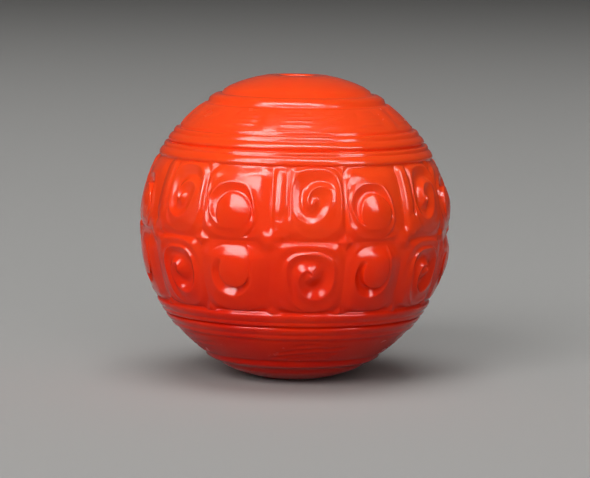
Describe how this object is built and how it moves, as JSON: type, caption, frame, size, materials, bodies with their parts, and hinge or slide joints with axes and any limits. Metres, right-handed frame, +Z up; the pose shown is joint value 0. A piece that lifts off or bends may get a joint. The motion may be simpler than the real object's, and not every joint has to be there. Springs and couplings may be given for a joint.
{
  "type": "carved round bead",
  "caption": "Round stone bead drilled from pole to pole, carved with turned rings, a frieze above and below, and a belt of scrolls in two rows.",
  "frame": {"origin": "centre of the bead", "axes": "+Z up the drilled hole, towards the cap that is uppermost in the picture; the side in view faces -Y"},
  "size_m": [0.0154, 0.0154, 0.0152],
  "materials": {
    "red_agate": "polished translucent orange-red stone, glossy, with a soft bleed of light at the edges"
  },
  "bodies": {
    "root": {"carved_bead": "red_agate"}
  },
  "joints": []
}
